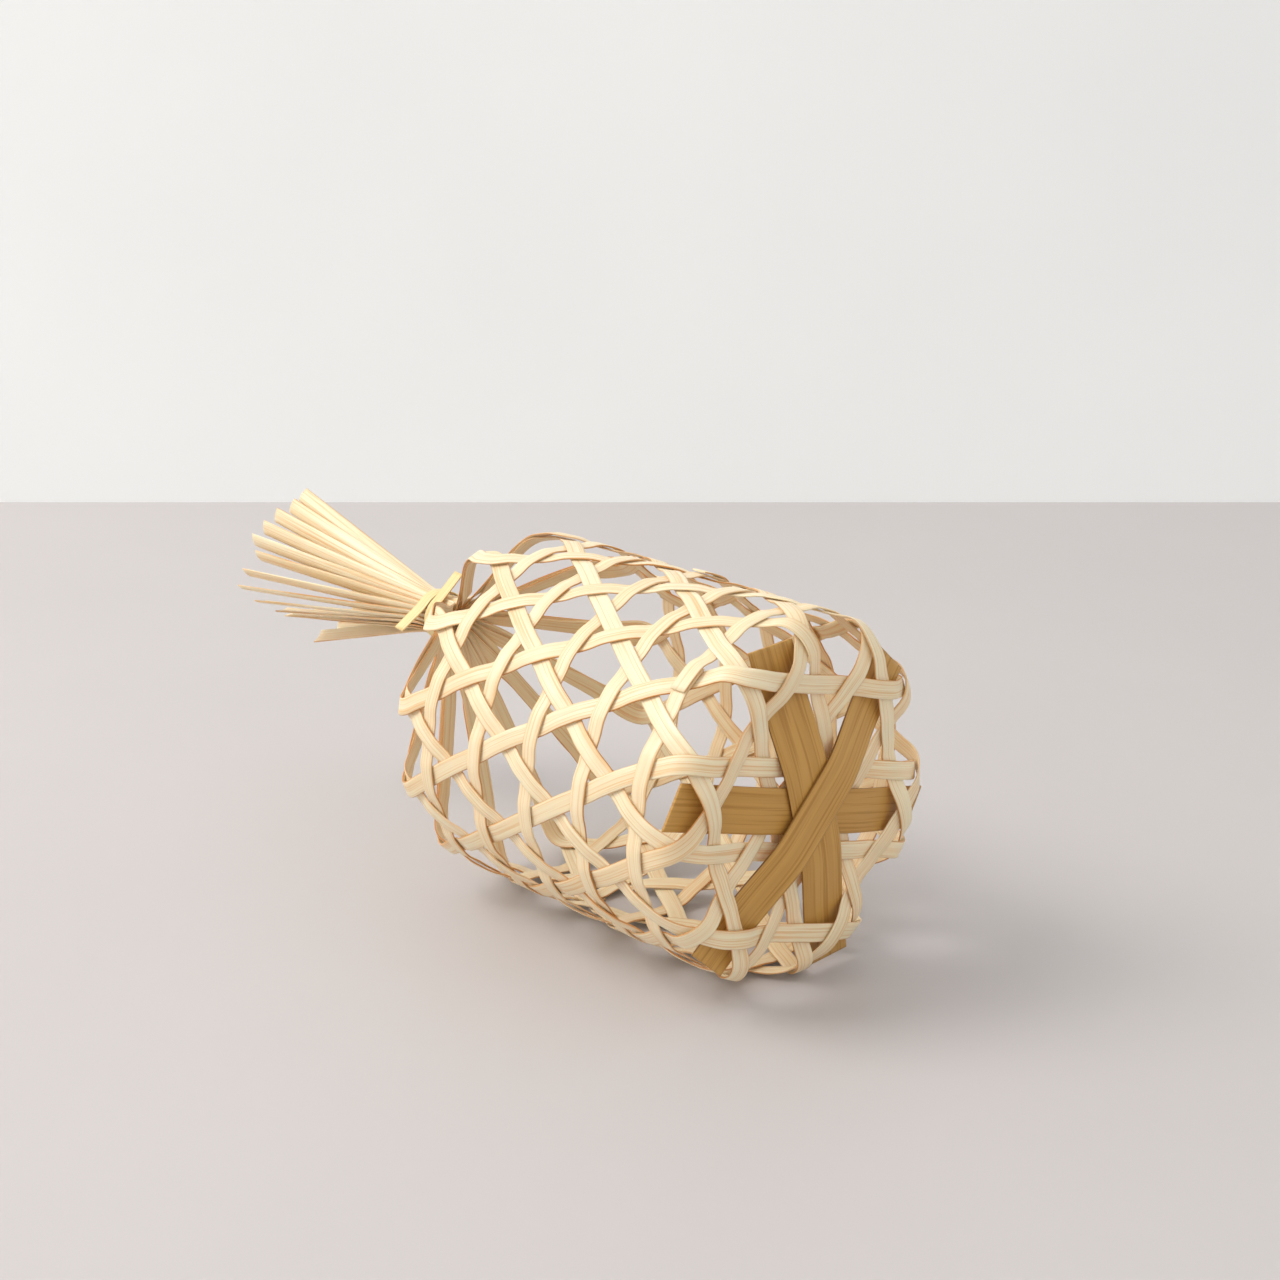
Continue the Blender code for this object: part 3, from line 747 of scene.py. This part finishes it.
def slat(layer):
    outermost = -SLAT_CLEAR - list(SLATS).index(layer) * (SLAT_THICK + SLAT_GAP)
    half, width = SLAT_LENGTH / 2, SLAT_WIDTHS[layer]
    rest = max(SLAT_WIDTHS.values()) / 2 * math.tan(math.radians(60)) + 0.0002
    leave = 0.577 * STRIP_SPACING + (width / 2 + STRIP_WIDTH) / math.sqrt(3)
    tuck = 1.732 * STRIP_SPACING - (width / 2 + STRIP_WIDTH) / math.sqrt(3)
    tucked = SLAT_CLEAR - 0.45 * CORNER_PUSH
    straight = outermost + (tucked - outermost) * (leave - rest) / (tuck - rest)
    marks = [(0, outermost), (rest, outermost), (leave, min(-SLAT_CLEAR, straight)),
             (tuck, tucked), (half, tucked + SLAT_DIP * (half - tuck))]
    angle = math.radians(SLATS[layer])
    way = np.array([math.cos(angle), math.sin(angle), 0.0])
    across = np.array([-way[1], way[0], 0.0])
    made = []
    for s in np.linspace(-half, half, SLAT_ROWS):
        drop = np.interp(abs(s), [m[0] for m in marks], [m[1] for m in marks])
        skew = SLAT_SKEWS[layer] * clamp((abs(s) - tuck) / (half - tuck))
        line = [way * (s - share * skew) - across * share * width / 2 for share in SLAT_SHARES]
        made.append(np.array(line) + np.array([0.0, 0.0, drop]))
    return softened(np.array(made), SLAT_SMOOTHING)


slats = []
for layer in SLATS:
    node = "base_slat_" + layer
    slats.append(band("fine_" + node, slat(layer), SLAT_THICK, 60 + len(slats), node,
                      slat_bamboo))
print("slats:", len(slats))

# %% [markdown]
# ## The tie
# A narrower strip goes just over once round the neck. Its two ends are left standing.

# %% Making the tie
TIE_ROWS = 60
TAIL_ROWS = 8


def tie_rows():
    radius = NECK_OUTSIDE + STRIP_THICK / 2 + WEAVE_GAP + TIE_THICK / 2
    front = UP + math.radians(60)
    middle = NECK_START + NECK_LENGTH / 2
    centre = LIFT_WAY * NECK_LIFT
    run = TIE_PITCH * TIE_TURNS
    lean = TIE_PITCH / (2 * math.pi * radius)
    made = []
    for k in range(-TAIL_ROWS, TIE_ROWS + TAIL_ROWS + 1):
        share = clamp(k / TIE_ROWS)
        angle = front - 2 * math.pi * TIE_TURNS * share
        out = np.array([math.cos(angle), math.sin(angle), 0.0])
        way = unit(np.array([math.sin(angle), -math.cos(angle), -lean]))
        spot = centre + out * radius + np.array([0, 0, middle + run * (0.5 - share)])
        tail = max(-k, k - TIE_ROWS, 0) / TAIL_ROWS * TIE_TAIL
        if k < 0:
            spot = spot + unit(TIE_SPLAY * (out + np.array([0, 0, 1])) - way) * tail
        elif k > TIE_ROWS:
            spot = spot + unit(TIE_SPLAY * out + way) * tail
        made.append(row_across(spot, way, out, TIE_WIDTH))
    return softened(np.array(made), 3)


tie = band("fine_neck_tie", tie_rows(), TIE_THICK, 80, "neck_tie", tie_bamboo)
print("tie:", len(tie.data.vertices), "points")

# %% [markdown]
# ## Table, light and camera
# The table and the wall behind it are plain and pale. The light is one broad soft window up
# on the left and a bright, even room, so that the wall of the basket is lit and its base is
# in shade.

# %% A plain finish for the table and the wall
def plain_surface(name, colour, roughness):
    material = bpy.data.materials.new(name)
    material.use_nodes = True
    tree = material.node_tree
    shader = tree.nodes["Principled BSDF"]
    where = add_node(tree, "ShaderNodeTexCoord").outputs["Object"]
    cloud = add_node(tree, "ShaderNodeTexNoise", {"Vector": where, "Scale": 5.0, "Detail": 4.0})
    shade = between(tree, cloud.outputs["Fac"], 0.2, 0.8)
    darker = tuple(0.96 * part for part in colour[:3]) + (1.0,)
    tree.links.new(mixed(tree, shade, colour, darker), shader.inputs["Base Color"])
    shader.inputs["Roughness"].default_value = roughness
    return material


# %% The table and the wall
CAMERA_SPOT = Vector((AXIS_X - 0.27805, BASE_Y - 0.24812, AXIS_Z + 0.14722))
LOOK = Vector((0.655, 0.698, -0.289)).normalized()
LEVEL_LOOK = Vector((LOOK.x, LOOK.y, 0)).normalized()
WALL_DISTANCE = 0.81
TABLE_HALF_WIDTH = 4
TABLE_DEPTH = 6
WALL_HEIGHT = 3


def sheet_of(name, corners, material):
    mesh = bpy.data.meshes.new(name)
    mesh.from_pydata([tuple(corner) for corner in corners], [], [(0, 1, 2, 3)])
    mesh.materials.append(material)
    thing = bpy.data.objects.new(name, mesh)
    bpy.context.scene.collection.objects.link(thing)
    return thing


beside = Vector((LEVEL_LOOK.y, -LEVEL_LOOK.x, 0)) * TABLE_HALF_WIDTH
far = Vector((CAMERA_SPOT.x, CAMERA_SPOT.y, 0)) + LEVEL_LOOK * WALL_DISTANCE
near = far - LEVEL_LOOK * TABLE_DEPTH
high = Vector((0, 0, WALL_HEIGHT))
sheet_of("table_top", [near - beside, near + beside, far + beside, far - beside],
         plain_surface("painted_table", tint(196, 190, 189), 0.55))
sheet_of("back_wall", [far - beside, far + beside, far + beside + high, far - beside + high],
         plain_surface("painted_wall", tint(252, 253, 252), 0.9))


# %% The window light and the room
def soft_light(name, spot, aim, size, power, colour):
    lamp = bpy.data.lights.new(name, "AREA")
    lamp.shape = "SQUARE"
    lamp.size = size
    lamp.energy = power
    lamp.color = colour
    thing = bpy.data.objects.new(name, lamp)
    thing.location = spot
    thing.rotation_euler = (Vector(aim) - Vector(spot)).to_track_quat("-Z", "Y").to_euler()
    bpy.context.scene.collection.objects.link(thing)


WINDOW_ASIDE = 1.35
WINDOW_BEHIND = 0.1
WINDOW_UP = 1.35
WINDOW_SIZE = 1.1
WINDOW_POWER = 30.0
ROOM_STRENGTH = 0.86

centre = Vector((0, 0, 0.03))
left = -beside.normalized()
window_spot = centre + left * WINDOW_ASIDE + LEVEL_LOOK * WINDOW_BEHIND + Vector((0, 0, WINDOW_UP))
soft_light("window", window_spot, centre, WINDOW_SIZE, WINDOW_POWER, (1.0, 0.985, 0.95))
world = bpy.data.worlds.new("room")
world.use_nodes = True
world.node_tree.nodes["Background"].inputs["Color"].default_value = (0.99, 1.0, 1.0, 1.0)
world.node_tree.nodes["Background"].inputs["Strength"].default_value = ROOM_STRENGTH
bpy.context.scene.world = world
bpy.context.scene.view_settings.view_transform = "Standard"

# %% The camera
lens = bpy.data.cameras.new("camera")
lens.lens = 56.4
lens.sensor_width = 36.0
lens.clip_start = 0.01
camera = bpy.data.objects.new("camera", lens)
camera.location = CAMERA_SPOT
camera.rotation_euler = LOOK.to_track_quat("-Z", "Y").to_euler()
bpy.context.scene.collection.objects.link(camera)
bpy.context.scene.camera = camera
